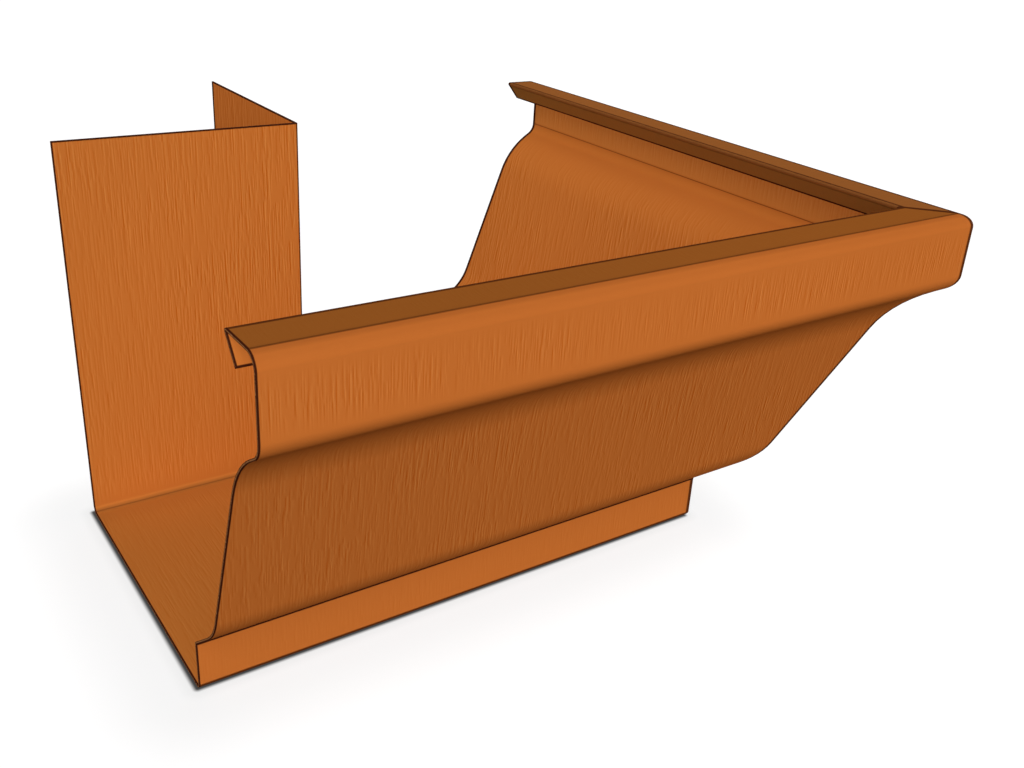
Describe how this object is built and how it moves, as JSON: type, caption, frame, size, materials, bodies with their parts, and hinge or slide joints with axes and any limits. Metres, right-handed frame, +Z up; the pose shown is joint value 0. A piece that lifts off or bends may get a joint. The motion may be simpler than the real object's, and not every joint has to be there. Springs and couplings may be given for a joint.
{
  "type": "gutter external angle",
  "caption": "Mitred outside corner for an ogee roof gutter, folded from thin copper sheet, with open ends, a flat sole, a moulded front and a turned-in bead.",
  "frame": {"origin": "foot of the building corner: where the planes of the two back walls meet, level with the underside of the sole", "axes": "+Z up; one arm runs along X towards -X with its back wall facing +Y and its front facing -Y; the other runs along Y towards +Y with its back wall facing -X and its front facing +X; the mitre lies in the vertical plane y = -x"},
  "size_m": [0.2286, 0.2286, 0.126],
  "materials": {
    "copper_sheet": "satin rolled sheet copper with a fine grain across the section, darker at cut edges and folds"
  },
  "bodies": {
    "root": {"gutter_angle": "copper_sheet"}
  },
  "joints": []
}
